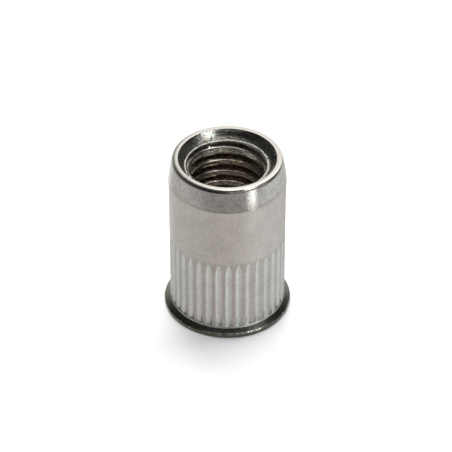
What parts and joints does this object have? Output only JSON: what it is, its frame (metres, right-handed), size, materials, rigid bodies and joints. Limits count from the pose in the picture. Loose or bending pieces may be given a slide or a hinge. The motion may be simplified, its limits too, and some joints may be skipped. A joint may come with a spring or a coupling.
{
  "type": "rivet nut",
  "caption": "Open-ended knurled rivet nut with a small conical head, fluted shank, tapered nose and right-hand internal thread.",
  "frame": {"origin": "centre of the head's flat face, which is the lowest plane of the part", "axes": "+Z along the nut's axis, from the head to the open mouth of the thread; a flute flank lies on +X"},
  "size_m": [0.0122, 0.0122, 0.0168],
  "materials": {
    "stainless_steel": "satin"
  },
  "bodies": {
    "root": {"rivet_nut": "stainless_steel"}
  },
  "joints": []
}
